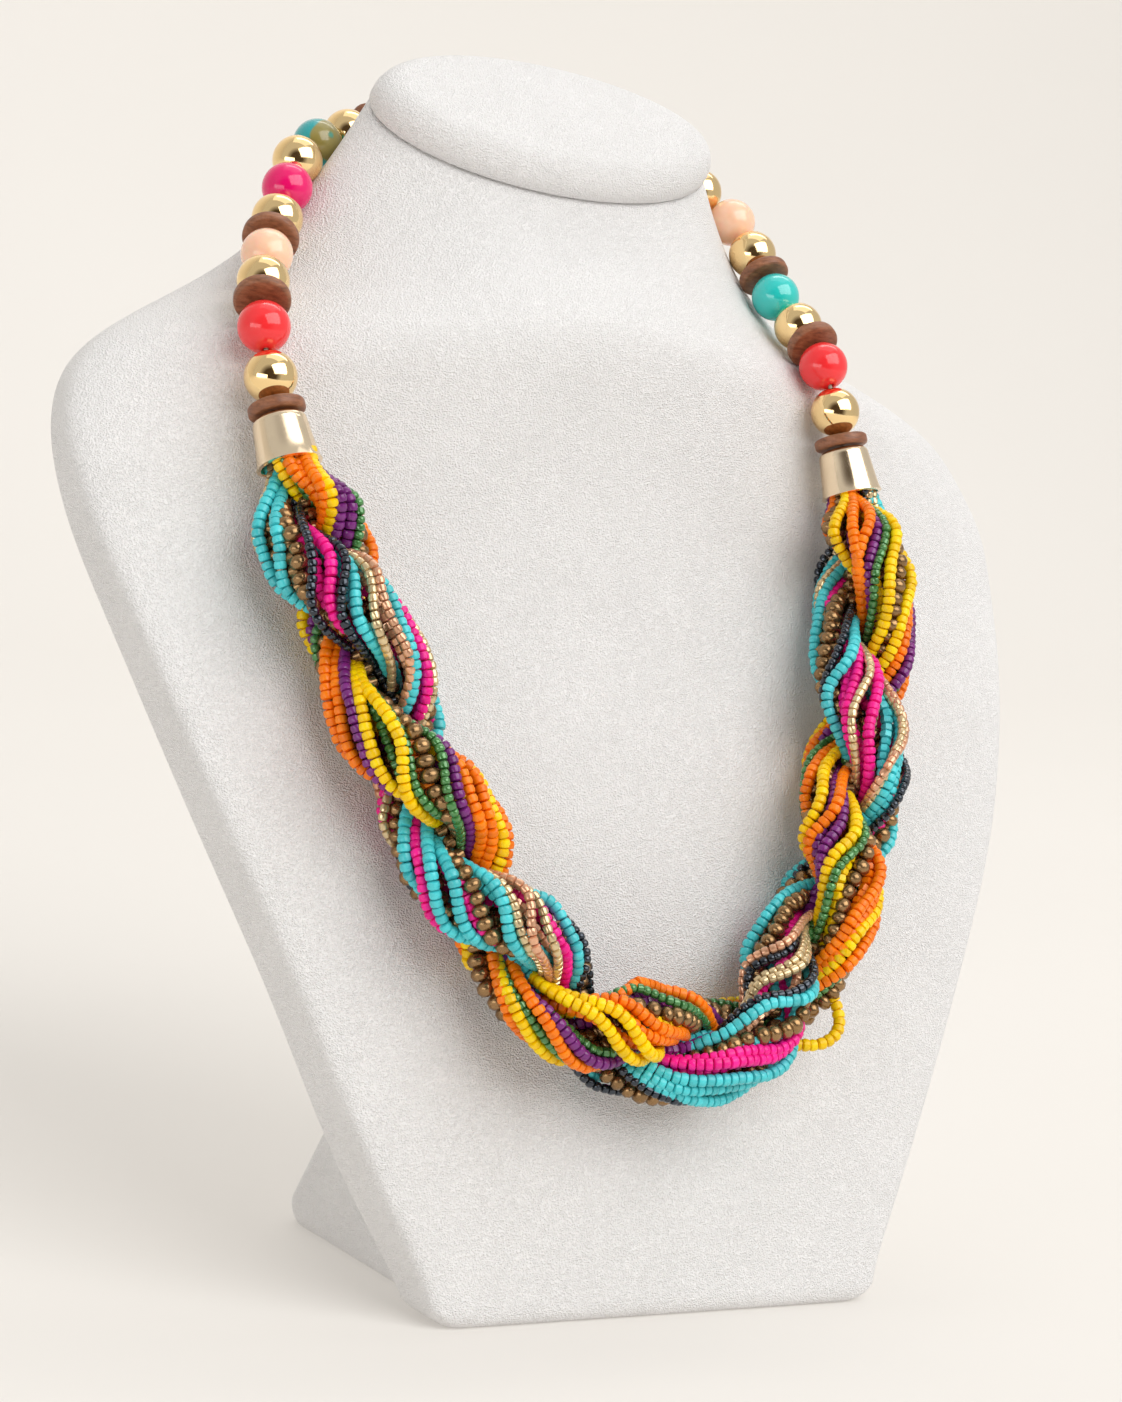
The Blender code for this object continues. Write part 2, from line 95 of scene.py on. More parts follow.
# Necklace sizes, as in the CAD model
ROUND_BEAD_DIAMETER = 0.0098
DISC_DIAMETER = 0.0105
DISC_THICKNESS = 0.0022
BORE_DIAMETER = 0.0020
THREAD_DIAMETER = 0.0008
FERRULE_TOP_DIAMETER = 0.0100
FERRULE_MOUTH_DIAMETER = 0.0116
FERRULE_LENGTH = 0.0096
FERRULE_WALL = 0.0006
CLASP_DIAMETER = 0.0050
CLASP_LENGTH = 0.0140
STRAND_DEPTH = 0.0098
STRAND_WIDTH = 0.0133
STRAND_END_DEPTH = 0.0045
STRAND_END_WIDTH = 0.0068
STRAND_SPREAD_LENGTH = 0.012
STRAND_INSET = 0.0020
SEAT_GAP = 0.0003
LEFT_STRING_LENGTH = 0.1299
BRAID_LENGTH = 0.2721

# How far the thread goes on past the last disc, into the end cup
THREAD_IN_CUP = 0.0016

# Sections of the bust: rise, width, bow, depth, front, back, tilt and squareness
BUST_SECTIONS = [
    (0.130, 0.588, 0.58, 1.00, 0.02, 0.00, 0.00, 6.0),
    (0.261, 0.712, 0.87, 1.00, 0.04, 0.00, 0.00, 6.0),
    (0.391, 0.833, 1.00, 1.00, 0.06, 0.00, 0.00, 6.0),
    (0.522, 0.926, 0.88, 1.00, 0.08, 0.00, 0.00, 6.0),
    (0.630, 0.985, 0.60, 1.00, 0.29, 0.00, 0.00, 5.5),
    (0.696, 1.000, 0.48, 1.04, 0.49, 0.00, 0.03, 5.0),
    (0.748, 0.975, 0.28, 1.05, 0.76, 0.00, 0.08, 4.5),
    (0.796, 0.905, 0.28, 1.35, 0.82, 0.05, 0.17, 4.2),
    (0.848, 0.705, 0.00, 1.45, 1.04, 0.10, 0.30, 3.0),
    (0.913, 0.505, 0.37, 1.85, 0.82, 0.05, 0.56, 2.2),
]

# The necklace's chosen points, as in the CAD model
NECKLACE_ROUTE = [
    (0.0001, 0.1087, 0.2166),
    (-0.0152, 0.1084, 0.2147),
    (-0.0292, 0.1060, 0.2114),
    (-0.0413, 0.1017, 0.2077),
    (-0.0506, 0.0947, 0.2029),
    (-0.0570, 0.0858, 0.1948),
    (-0.0638, 0.0769, 0.1862),
    (-0.0698, 0.0664, 0.1792),
    (-0.0734, 0.0584, 0.1730),
    (-0.0739, 0.0531, 0.1640),
    (-0.0730, 0.0470, 0.1526),
    (-0.0713, 0.0403, 0.1406),
    (-0.0684, 0.0339, 0.1298),
    (-0.0653, 0.0285, 0.1204),
    (-0.0610, 0.0235, 0.1110),
    (-0.0585, 0.0185, 0.1015),
    (-0.0550, 0.0142, 0.0935),
    (-0.0500, 0.0105, 0.0845),
    (-0.0450, 0.0065, 0.0750),
    (-0.0375, 0.0035, 0.0660),
    (-0.0270, 0.0002, 0.0565),
    (-0.0145, -0.0015, 0.0515),
    (0.0000, -0.0018, 0.0505),
    (0.0125, -0.0008, 0.0535),
    (0.0215, 0.0015, 0.0605),
    (0.0290, 0.0050, 0.0715),
    (0.0360, 0.0090, 0.0820),
    (0.0400, 0.0130, 0.0920),
    (0.0431, 0.0178, 0.1019),
    (0.0466, 0.0232, 0.1117),
    (0.0501, 0.0287, 0.1218),
    (0.0528, 0.0340, 0.1322),
    (0.0544, 0.0386, 0.1421),
    (0.0553, 0.0432, 0.1501),
    (0.0542, 0.0464, 0.1581),
    (0.0530, 0.0496, 0.1667),
    (0.0518, 0.0536, 0.1759),
    (0.0520, 0.0616, 0.1819),
    (0.0515, 0.0715, 0.1878),
    (0.0511, 0.0810, 0.1963),
    (0.0503, 0.0913, 0.2046),
    (0.0427, 0.0992, 0.2110),
    (0.0306, 0.1046, 0.2150),
    (0.0159, 0.1076, 0.2169),
]

# Share of the braid's length, and half turns of the warm strand
BRAID_LAY = [
    (0.000, -1.53),
    (0.117, -0.50),
    (0.236, 0.50),
    (0.337, 1.50),
    (0.442, 2.50),
    (0.568, 3.50),
    (0.689, 4.50),
    (0.799, 5.50),
    (0.931, 6.50),
    (1.000, 7.08),
]

LEFT_STRING = [
    "disc", "gold", "coral", "disc", "gold", "peach",
    "disc", "gold", "magenta", "gold", "two_tone", "gold",
]
RIGHT_STRING = [
    "disc", "gold", "coral", "disc", "gold", "teal",
    "disc", "gold", "peach", "gold", "magenta", "gold",
]

# Seed bead kinds: width, pitch along the string, roundness of the outline
SEED_KINDS = {
    "turquoise": (0.00245, 0.00156, 4.0),
    "orange": (0.00245, 0.00156, 3.8),
    "yellow": (0.00250, 0.00160, 3.8),
    "purple": (0.00240, 0.00154, 3.6),
    "magenta": (0.00245, 0.00154, 3.8),
    "green": (0.00190, 0.00148, 3.5),
    "gunmetal": (0.00190, 0.00145, 3.5),
    "champagne": (0.00185, 0.00152, 4.0),
    "blush": (0.00185, 0.00152, 4.0),
    "bronze": (0.00350, 0.00265, 2.4),
}

# Letters of the string orders below
LETTERS = {
    "O": "orange", "Y": "yellow", "P": "purple", "G": "green", "B": "bronze",
    "T": "turquoise", "M": "magenta", "K": "gunmetal", "C": "champagne", "R": "blush",
}

# Order in which the outer strings come to the top in each lobe, from the left cup on
WARM_LOBES = [
    "YBYGOOOYPPGBO",
    "OPYYGBGPOOYBO",
    "YGOPYYOOBGOPB",
    "BGOYOOBGYPPOY",
    "OGPOYBYGPOOYB",
]
COOL_LOBES = [
    "TBKMKTCRTMCBT",
    "MTTBTCRCMTKBK",
    "TTTMMBTKCCKRB",
    "TBKTTCRMCMTKB",
    "MTCTCKMRBTTKB",
]
FIRST_LOBE = -1.5

# Size of the beaded strands beside the plain CAD strands, and how far their lifted side swells
STRAND_FULLNESS = 1.06
DEPTH_SWELL = 0.05
WIDTH_SWELL = 0.13

# How far the outer strings sway together, wander alone, rise and dive, and lie deep by turns
SWAY = 0.45
WANDER = 0.22
LIFT = 0.0012
DIVE = 0.0022
SUNK = 0.00035

# The stray strings, which wander further and lie on top
STRAY_WANDER = 0.85
STRAY_SUNK = -0.0010

# Where between two lobes a string changes its place, and where it dives
CHANGE_START = 0.36
CHANGE_SPAN = 0.28
DIVE_START = 0.31
DIVE_SPAN = 0.38

# Least half sizes of the course of a string in a strand
LEAST_DEPTH = 0.0006
LEAST_WIDTH = 0.0008

# Depth of the inner strings in a strand, and reach of the core strings from the middle
INNER_INSET = 0.0031
CORE_REACH = 0.0021

# Sides of the outer, hidden and loose seed beads, and steps along a strand's length
OUTER_SIDES = 10
HIDDEN_SIDES = 6
LOOP_SIDES = 9
STRAND_STEPS = 1200

# How far seed beads differ in size, length, tilt, shift and tone, and the bronze ones more
SIZE_SPREAD = 0.06
LENGTH_SPREAD = 0.07
TILT_SPREAD = 0.05
SHIFT_SPREAD = 0.00004
TONE_SPREAD = 0.16
BRONZE_LOOSENESS = 2.2

# The loose loop: share of the braid's length, width, start beside the route and drop
LOOP_PLACE = 0.602
LOOP_WIDTH = 0.0125
LOOP_START = 0.0062
LOOP_DROP = 0.0062

BOARD_NORMAL = Vector((0.0, -math.cos(BOARD_LEAN), math.sin(BOARD_LEAN)))
BOARD_UP = Vector((0.0, math.sin(BOARD_LEAN), math.cos(BOARD_LEAN)))
chance = random.Random(11)


def hermite_rows(rows, places):
    """Values of a table of rows at the given first-column places, on a smooth curve."""
    result = []
    last = len(rows) - 1
    for place in places:
        i = max(k for k in range(last) if k == 0 or rows[k][0] <= place)
        start, end = rows[i], rows[i + 1]
        before, after = rows[max(i - 1, 0)], rows[min(i + 2, last)]
        span = end[0] - start[0]
        t = (place - start[0]) / span
        values = []
        for a, b, p, q in zip(start, end, before, after):
            slope_a = (b - p) / (end[0] - before[0]) * span
            slope_b = (q - a) / (after[0] - start[0]) * span
            values.append(
                (2 * t**3 - 3 * t**2 + 1) * a
                + (t**3 - 2 * t**2 + t) * slope_a
                + (3 * t**2 - 2 * t**3) * b
                + (t**3 - t**2) * slope_b
            )
        result.append(values)
    return result


def catmull_rom(p0, p1, p2, p3, t):
    """Point on the centripetal curve between p1 and p2."""
    t0 = 0.0
    t1 = t0 + math.sqrt((p1 - p0).length)
    t2 = t1 + math.sqrt((p2 - p1).length)
    t3 = t2 + math.sqrt((p3 - p2).length)
    t = t1 + (t2 - t1) * t
    a1 = p0 * ((t1 - t) / (t1 - t0)) + p1 * ((t - t0) / (t1 - t0))
    a2 = p1 * ((t2 - t) / (t2 - t1)) + p2 * ((t - t1) / (t2 - t1))
    a3 = p2 * ((t3 - t) / (t3 - t2)) + p3 * ((t - t2) / (t3 - t2))
    b1 = a1 * ((t2 - t) / (t2 - t0)) + a2 * ((t - t0) / (t2 - t0))
    b2 = a2 * ((t3 - t) / (t3 - t1)) + a3 * ((t - t1) / (t3 - t1))
    return b1 * ((t2 - t) / (t2 - t1)) + b2 * ((t - t1) / (t2 - t1))


def quarter_turn(steps):
    """One minus the sine and one minus the cosine at each step of a quarter turn."""
    angles = [math.pi / 2 * k / steps for k in range(steps + 1)]
    return [(1 - math.sin(angle), 1 - math.cos(angle)) for angle in angles]


def closed_curve(points, steps=24):
    """Points of a smooth closed curve through the given points."""
    nodes = [Vector(point) for point in points]
    count = len(nodes)
    curve = []
    for i in range(count):
        p0, p1 = nodes[i - 1], nodes[i]
        p2, p3 = nodes[(i + 1) % count], nodes[(i + 2) % count]
        for k in range(steps):
            curve.append(catmull_rom(p0, p1, p2, p3, k / steps))
    curve.append(nodes[0].copy())
    return curve


class Route:
    """A line of points, measured along its length."""

    def __init__(self, points, closed):
        self.points = points
        self.closed = closed
        self.reach = [0.0]
        for a, b in zip(self.points, self.points[1:]):
            self.reach.append(self.reach[-1] + (b - a).length)
        self.length = self.reach[-1]

    def at(self, distance):
        if self.closed:
            distance %= self.length
        distance = min(max(distance, 0.0), self.length)
        low, high = 0, len(self.reach) - 1
        while high - low > 1:
            middle = (low + high) // 2
            if self.reach[middle] <= distance:
                low = middle
            else:
                high = middle
        span = self.reach[high] - self.reach[low]
        share = (distance - self.reach[low]) / span
        return self.points[low].lerp(self.points[high], share)

    def frame(self, distance, reach=0.0015):
        """Tangent, outward direction and direction off the board at a distance."""
        tangent = (self.at(distance + reach) - self.at(distance - reach)).normalized()
        lifted = BOARD_NORMAL - tangent * BOARD_NORMAL.dot(tangent)
        lifted.normalize()
        return tangent, tangent.cross(lifted), lifted


# Materials


class Finish:
    """A material whose colour, roughness and bump come from nodes."""

    def __init__(self, name, color, roughness, metallic=0.0, **sockets):
        self.material = bpy.data.materials.new(name)
        self.material.use_nodes = True
        self.nodes = self.material.node_tree.nodes
        self.links = self.material.node_tree.links
        self.shader = self.nodes["Principled BSDF"]
        self.set("Base Color", (*color, 1.0))
        self.set("Roughness", roughness)
        self.set("Metallic", metallic)
        for socket, value in sockets.items():
            self.set(socket.replace("_", " "), value)
        self.material.diffuse_color = (*color, 1.0)
        self.place = self.nodes.new("ShaderNodeTexCoord").outputs["Object"]

    def set(self, socket, value):
        self.shader.inputs[socket].default_value = value

    def node(self, kind, **values):
        made = self.nodes.new(kind)
        for name, value in values.items():
            setattr(made, name, value)
        return made

    def stretched(self, scale, turn):
        mapping = self.node("ShaderNodeMapping")
        mapping.inputs["Scale"].default_value = scale
        mapping.inputs["Rotation"].default_value = turn
        self.links.new(self.place, mapping.inputs["Vector"])
        return mapping.outputs["Vector"]

    def noise(self, scale, detail=3.0, rough=0.5, place=None):
        made = self.node("ShaderNodeTexNoise")
        made.inputs["Scale"].default_value = scale
        made.inputs["Detail"].default_value = detail
        made.inputs["Roughness"].default_value = rough
        self.links.new(place or self.place, made.inputs["Vector"])
        return made.outputs["Fac"]

    def cells(self, scale, place):
        made = self.node("ShaderNodeTexVoronoi")
        made.inputs["Scale"].default_value = scale
        self.links.new(place, made.inputs["Vector"])
        return made.outputs["Distance"]

    def ramp(self, source, stops):
        made = self.node("ShaderNodeValToRGB")
        elements = made.color_ramp.elements
        while len(elements) < len(stops):
            elements.new(0.5)
        for element, (place, color) in zip(elements, stops):
            element.position = place
            if isinstance(color, float):
                color = (color, color, color)
            element.color = (*color, 1.0)
        self.links.new(source, made.inputs["Fac"])
        return made.outputs["Color"]

    def product(self, first, second):
        made = self.node("ShaderNodeMix", data_type="RGBA", blend_type="MULTIPLY")
        made.inputs[0].default_value = 1.0
        self.links.new(first, made.inputs[6])
        self.links.new(second, made.inputs[7])
        return made.outputs[2]

    def sum(self, first, second, share):
        made = self.node("ShaderNodeMath", operation="MULTIPLY_ADD")
        self.links.new(second, made.inputs[0])
        made.inputs[1].default_value = share
        self.links.new(first, made.inputs[2])
        return made.outputs[0]

    def tone(self):
        made = self.node("ShaderNodeAttribute", attribute_name="tone")
        return made.outputs["Fac"]

    def paint(self, source):
        self.links.new(source, self.shader.inputs["Base Color"])

    def roughen(self, source):
        self.links.new(source, self.shader.inputs["Roughness"])

    def bump(self, source, depth, strength):
        made = self.node("ShaderNodeBump")
        made.inputs["Strength"].default_value = strength
        made.inputs["Distance"].default_value = depth
        self.links.new(source, made.inputs["Height"])
        self.links.new(made.outputs["Normal"], self.shader.inputs["Normal"])


def shade(color, factor):
    return tuple(min(channel * factor, 1.0) for channel in color)


def cover_finish():
    made = Finish("cover", (0.86, 0.843, 0.832), 0.62, Sheen_Weight=0.12)
    grain = made.cells(2600.0, made.stretched((1.0, 1.0, 1.35), (0.3, 0.2, 0.5)))
    fine = made.noise(3600.0, 2.0, 0.6)
    soft = made.noise(60.0, 3.0, 0.5)
    height = made.sum(grain, fine, 0.6)
    cloud = made.ramp(soft, [(0.3, (0.872, 0.858, 0.849)), (0.7, (0.903, 0.889, 0.881))])
    # Painted shade: the colour darkens in the grain's pits, the low cells of the bump
    pit_shade = made.ramp(grain, [(0.0, (0.91, 0.905, 0.90)), (0.5, (1.0, 1.0, 1.0))])
    made.paint(made.product(cloud, pit_shade))
    made.roughen(made.ramp(fine, [(0.3, 0.52), (0.7, 0.72)]))
    made.bump(height, 0.00044, 0.85)
    return made.material


def seed_finish(name, color, roughness, metallic=0.0, **sockets):
    made = Finish(name, color, roughness, metallic, **sockets)
    darker, lighter = shade(color, 1.0 - TONE_SPREAD), shade(color, 1.0 + TONE_SPREAD)
    beads = made.ramp(made.tone(), [(0.0, darker), (0.5, color), (1.0, lighter)])
    speck = made.noise(1400.0, 2.0)
    made.paint(made.product(beads, made.ramp(speck, [(0.35, 0.92), (0.65, 1.0)])))
    made.roughen(made.ramp(speck, [(0.3, max(roughness - 0.06, 0.03)), (0.7, roughness + 0.08)]))
    made.bump(speck, 0.00003, 0.3)
    return made.material


def polished_finish(name, color, roughness, metallic, **sockets):
    made = Finish(name, color, roughness, metallic, **sockets)
    cloud = made.noise(220.0, 3.0)
    fine = made.noise(1600.0, 2.0)
    made.paint(made.ramp(cloud, [(0.3, shade(color, 0.975)), (0.7, shade(color, 1.02))]))
    made.roughen(made.ramp(cloud, [(0.3, max(roughness - 0.03, 0.02)), (0.7, roughness + 0.05)]))
    made.bump(fine, 0.00001, 0.2)
    return made.material


def peach_finish():
    color = (1.0, 0.60, 0.41)
    made = Finish(
        "peach", color, 0.20, Subsurface_Weight=0.35, Subsurface_Scale=0.002,
        Coat_Weight=0.5, Coat_Roughness=0.08,
    )
    cloud = made.noise(260.0, 4.0, 0.6)
    made.paint(made.ramp(cloud, [(0.3, shade(color, 0.95)), (0.7, shade(color, 1.04))]))
    made.roughen(made.ramp(cloud, [(0.3, 0.16), (0.7, 0.26)]))
    return made.material


def two_tone_finish():
    made = Finish("two_tone", (0.10, 0.38, 0.36), 0.2, Coat_Weight=0.6, Coat_Roughness=0.06)
    cloud = made.noise(110.0, 2.0, 0.5)
    made.paint(made.ramp(cloud, [
        (0.545, (0.015, 0.36, 0.38)), (0.565, (0.10, 0.30, 0.20)), (0.585, (0.30, 0.25, 0.07)),
    ]))
    return made.material


def wood_finish():
    made = Finish("wood", (0.17, 0.07, 0.035), 0.5, Coat_Weight=0.15, Coat_Roughness=0.3)
    rings = made.noise(420.0, 5.0, 0.65, made.stretched((1.0, 1.0, 4.0), (0.4, 0.9, 0.2)))
    marks = made.noise(2200.0, 3.0, 0.7, made.stretched((0.3, 1.0, 1.0), (0.2, 0.5, 1.1)))
    wood = made.ramp(rings, [
        (0.30, (0.15, 0.050, 0.020)), (0.52, (0.29, 0.105, 0.042)), (0.75, (0.41, 0.175, 0.088)),
    ])
    made.paint(made.product(wood, made.ramp(marks, [(0.35, 0.75), (0.6, 1.0)])))
    made.roughen(made.ramp(marks, [(0.3, 0.38), (0.7, 0.62)]))
    made.bump(marks, 0.00006, 0.5)
    return made.material


LACQUER = {"Specular_IOR_Level": 0.4, "Coat_Weight": 0.4, "Coat_Roughness": 0.05}
LUSTRE = {"Coat_Weight": 0.6, "Coat_Roughness": 0.04}
MATT = {"Specular_IOR_Level": 0.35}

FINISHES = {
    "cover": cover_finish(),
    "gold": polished_finish("gold", (0.98, 0.71, 0.35), 0.08, 1.0),
    "ferrule": polished_finish("ferrule", (0.95, 0.77, 0.54), 0.17, 1.0),
    "coral": polished_finish("coral", (0.88, 0.030, 0.035), 0.14, 0.0, **LACQUER),
    "magenta_bead": polished_finish("magenta_bead", (0.78, 0.004, 0.14), 0.14, 0.0, **LACQUER),
    "teal": polished_finish(
        "teal", (0.020, 0.56, 0.52), 0.14, 0.0, Coat_Weight=0.7, Coat_Roughness=0.05,
    ),
    "peach": peach_finish(),
    "two_tone": two_tone_finish(),
    "disc": wood_finish(),
    "turquoise": seed_finish("turquoise", (0.070, 0.60, 0.64), 0.28),
    "orange": seed_finish("orange", (1.0, 0.215, 0.002), 0.28, **MATT),
    "yellow": seed_finish("yellow", (1.0, 0.63, 0.0), 0.28, **MATT),
    "purple": seed_finish("purple", (0.185, 0.020, 0.185), 0.20),
    "magenta": seed_finish("magenta", (0.95, 0.012, 0.29), 0.28, **MATT),
    "green": seed_finish(
        "green", (0.060, 0.23, 0.055), 0.10, 0.25, Coat_Weight=0.8, Coat_Roughness=0.04,
    ),
    "gunmetal": seed_finish("gunmetal", (0.035, 0.045, 0.06), 0.12, 0.75, **LUSTRE),
    "champagne": seed_finish("champagne", (0.72, 0.55, 0.30), 0.14, 0.55, **LUSTRE),
    "blush": seed_finish("blush", (0.72, 0.38, 0.22), 0.14, 0.45, **LUSTRE),
    "bronze": seed_finish("bronze", (0.32, 0.19, 0.085), 0.24, 0.85),
    "thread": seed_finish("thread", (0.55, 0.50, 0.42), 0.6),
}


# Meshes


def finished(name, points, faces, finish, node, tones=None):
    """Put one piece in the scene, in place of a node of the CAD model."""
    mesh = bpy.data.meshes.new(name)
    mesh.from_pydata(points, [], faces)
    mesh.shade_smooth()
    mesh.set_sharp_from_angle(angle=math.radians(55))
    if tones is not None:
        attribute = mesh.attributes.new("tone", "FLOAT", "POINT")
        attribute.data.foreach_set("value", tones)
    mesh.materials.append(FINISHES[finish])
    obj = bpy.data.objects.new(name, mesh)
    bpy.context.scene.collection.objects.link(obj)
    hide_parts(node)
    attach(obj, "root")


def loft_faces(rows, sides, start=0):
    faces = []
    for row in range(rows - 1):
        for side in range(sides):
            low = start + row * sides + side
            low_next = start + row * sides + (side + 1) % sides
            faces.append((low, low_next, low_next + sides, low + sides))
    return faces


def loft(name, rings, finish, node):
    """A piece through rings of points, closed at both ends."""
    sides = len(rings[0])
    points = [point for ring in rings for point in ring]
    faces = loft_faces(len(rings), sides)
    faces.append(tuple(reversed(range(sides))))
    faces.append(tuple(range(len(points) - sides, len(points))))
    finished(name, points, faces, finish, node)


def section_ring(centre, front, half_width, half_depth, front_swell, back_swell,
                 squareness, quarter):
    """A rounded section with four times quarter points, closer at its side edges."""
    across_power = squareness + 5 * max(squareness - 4, 0) ** 2
    corner = math.acos(SIDE_EDGE_SHARE ** (across_power / 2))
    face = quarter // 2
    outline = []
    for k in range(quarter):
        if k < quarter - face:
            angle = corner * k / (quarter - face)
            across = math.cos(angle) ** (2 / across_power)
            body = math.sin(angle) ** (2 / squareness)
        else:
            across = SIDE_EDGE_SHARE * (1 - (k - quarter + face) / face)
            body = (1 - across**across_power) ** (1 / squareness)
        outline.append((across, body))
    ring = []
    backwards = [(0.0, 1.0)] + outline[:0:-1]
    for side, face_sign in ((1, 1), (-1, 1), (-1, -1), (1, -1)):
        for across, body in outline if side == face_sign else backwards:
            swell = (1 - across**2) ** SWELL_SHARPNESS
            if face_sign > 0:
                depth = body * half_depth + front_swell * swell
            else:
                depth = -(body * half_depth + back_swell * swell)
            ring.append(centre + Vector((-side * across * half_width, 0, 0)) + front * depth)
    return ring


def board_place(rise, lift):
    """Point on the board's middle line, up along its lean and off its back."""
    return BOARD_UP * rise + BOARD_NORMAL * lift


def tilted_front(tilt):
    return BOARD_NORMAL * math.cos(tilt) - BOARD_UP * math.sin(tilt)


def bust_rows():
    """Sections of the bust in metres, from the base to the cap's seat."""
    seat_tilt = BOARD_LEAN + CAP_TILT
    base_lift = BOARD_BOW * BASE_BOW_SHARE - BOARD_THICKNESS / 2
    rows = [(
        -base_lift * math.tan(BOARD_LEAN), SHOULDER_HALF_WIDTH * BASE_WIDTH_SHARE,
        base_lift, BOARD_THICKNESS / 2, 0.0, 0.0, BOARD_LEAN, BASE_SQUARENESS,
    )]
    for rise, width, bow, depth, front, back, tilt, squareness in BUST_SECTIONS:
        rows.append((
            rise * BUST_RISE, width * SHOULDER_HALF_WIDTH,
            bow * BOARD_BOW - BOARD_THICKNESS / 2, depth * BOARD_THICKNESS / 2,
            front * NECK_SWELL, back * NECK_SWELL, tilt * seat_tilt, squareness,
        ))
    rows.append((
        BUST_RISE, CAP_HALF_WIDTH - CAP_SEAM_INSET,
        CAP_BOW_SHARE * BOARD_BOW - BOARD_THICKNESS / 2,
        CAP_HALF_DEPTH - CAP_SEAM_INSET, 0.0, 0.0, seat_tilt, CAP_SQUARENESS,
    ))
    return rows


def softened(rows):
    """Rows averaged with their neighbours, so that the cover runs softly over the body."""
    result = []
    for k, row in enumerate(rows):
        span = min(SOFT_REACH, k, len(rows) - 1 - k)
        near = rows[k - span:k + span + 1]
        result.append([row[0]] + [sum(values) / len(near) for values in list(zip(*near))[1:]])
    return result


def make_bust():
    rows = bust_rows()
    first, last = rows[0][0], rows[-1][0]
    edge = BOARD_EDGE_RADIUS
    places = [first + edge * height for _, height in quarter_turn(6)]
    insets = [edge * inset for inset, _ in quarter_turn(6)] + [0.0] * BUST_RINGS
    start = places[-1]
    step = (last - start) / BUST_RINGS
    places += [start + step * (k + 1) for k in range(BUST_RINGS)]
    made = []
    for row, inset in zip(softened(hermite_rows(rows, places)), insets):
        rise, width, lift, depth, front, back, tilt, squareness = row
        made.append(section_ring(
            board_place(rise, lift), tilted_front(tilt), width - inset, depth - inset,
            front, back, squareness, BUST_QUARTER,
        ))
    loft("bust_cover", made, "cover", "neck_bust")


def make_cap():
    seat = bust_rows()[-1]
    front = tilted_front(seat[6])
    normal = Vector((1, 0, 0)).cross(-front).normalized()
    centre = board_place(seat[0], seat[2])
    bevel = CAP_SEAM_INSET * 0.35
    profile = [(0.0, CAP_SEAM_INSET), (bevel, bevel), (CAP_SEAM_INSET, 0.0)]
    for down, inset in quarter_turn(12)[1:]:
        profile.append((CAP_THICKNESS - CAP_EDGE_RADIUS * down, CAP_EDGE_RADIUS * inset))
    for k in range(1, 12):
        share = k / 12
        inset = CAP_EDGE_RADIUS + (CAP_HALF_DEPTH - CAP_EDGE_RADIUS) * share
        profile.append((CAP_THICKNESS + CAP_CROWN * (1 - (1 - share) ** 2), inset))
    rings = []
    for height, inset in profile:
        rings.append(section_ring(
            centre + normal * (height + SEAT_GAP), front, CAP_HALF_WIDTH - inset,
            CAP_HALF_DEPTH - inset, 0.0, 0.0, CAP_SQUARENESS, CAP_QUARTER,
        ))
    loft("cap_cover", rings, "cover", "bust_cap")


def board_back(height):
    """Y of the board's back surface on its middle line at a height above the floor."""
    rows = bust_rows()
    first, last = rows[0][0], rows[-1][0]
    places = [first + (last - first) * k / CAD_BUST_RINGS for k in range(CAD_BUST_RINGS + 1)]
    low = None
    for rise, _, lift, depth, _, back, tilt, _ in hermite_rows(rows, places):
        point = board_place(rise, lift) - tilted_front(tilt) * (depth + back)
        if low is not None and point.z >= height:
            share = (height - low.z) / (point.z - low.z)
            return low.y + (point.y - low.y) * share
        low = point
    return low.y


def make_foot():
    """The wedge behind the board, with a rounded base and rounded upright edges."""
    edge = FOOT_EDGE_RADIUS
    corner = quarter_turn(10)
    rows = [(edge * height, FOOT_BASE_INSET * inset) for inset, height in corner]
    rows += [(edge + (FOOT_RISE - edge) * (k + 1) / 24, 0.0) for k in range(24)]
    top_far = board_back(FOOT_RISE) + SEAT_GAP + edge
    rings = []
    for height, inset in rows:
        slant = max(height - edge, 0.0) / (FOOT_RISE - edge)
        near = board_back(height) + SEAT_GAP
        far = FOOT_DEPTH + (top_far - FOOT_DEPTH) * slant - inset
        half = FOOT_HALF_WIDTH - inset
        side = [(half - edge * a, max(far - edge * b, near)) for b, a in corner]
        ring = [Vector((-half, near, height)), Vector((half, near, height))]
        ring += [Vector((across, along, height)) for across, along in side[1:]]
        ring += [Vector((-across, along, height)) for across, along in side[:0:-1]]
        rings.append(ring)
    loft("foot_cover", rings, "cover", "bust_foot")


make_bust()
make_cap()
make_foot()


# Round beads, discs, end cups, clasp and thread


def turned(profile, sides):
    """Points and faces of a closed outline turned about the Z axis."""
    count = len(profile)
    points = []
    for side in range(sides):
        angle = 2 * math.pi * side / sides
        for radius, height in profile:
            points.append(Vector((radius * math.cos(angle), radius * math.sin(angle), height)))
    faces = []
    for side in range(sides):
        low, high = side * count, (side + 1) % sides * count
        for k in range(count):
            k_next = (k + 1) % count
            faces.append((low + k, low + k_next, high + k_next, high + k))
    return points, faces


def seat_matrix(distance, length, downwards=False):
    """Place of a piece of a given length that is threaded on the route."""
    tangent, outward, _ = route.frame(distance, length / 2)
    if downwards:
        tangent, outward = -tangent, -outward
    chord = route.at(distance - length / 2).lerp(route.at(distance + length / 2), 0.5)
    middle = chord.lerp(route.at(distance), 0.5)
    axes = Matrix((outward, tangent.cross(outward), tangent)).transposed()
    return Matrix.Translation(middle) @ axes.to_4x4()


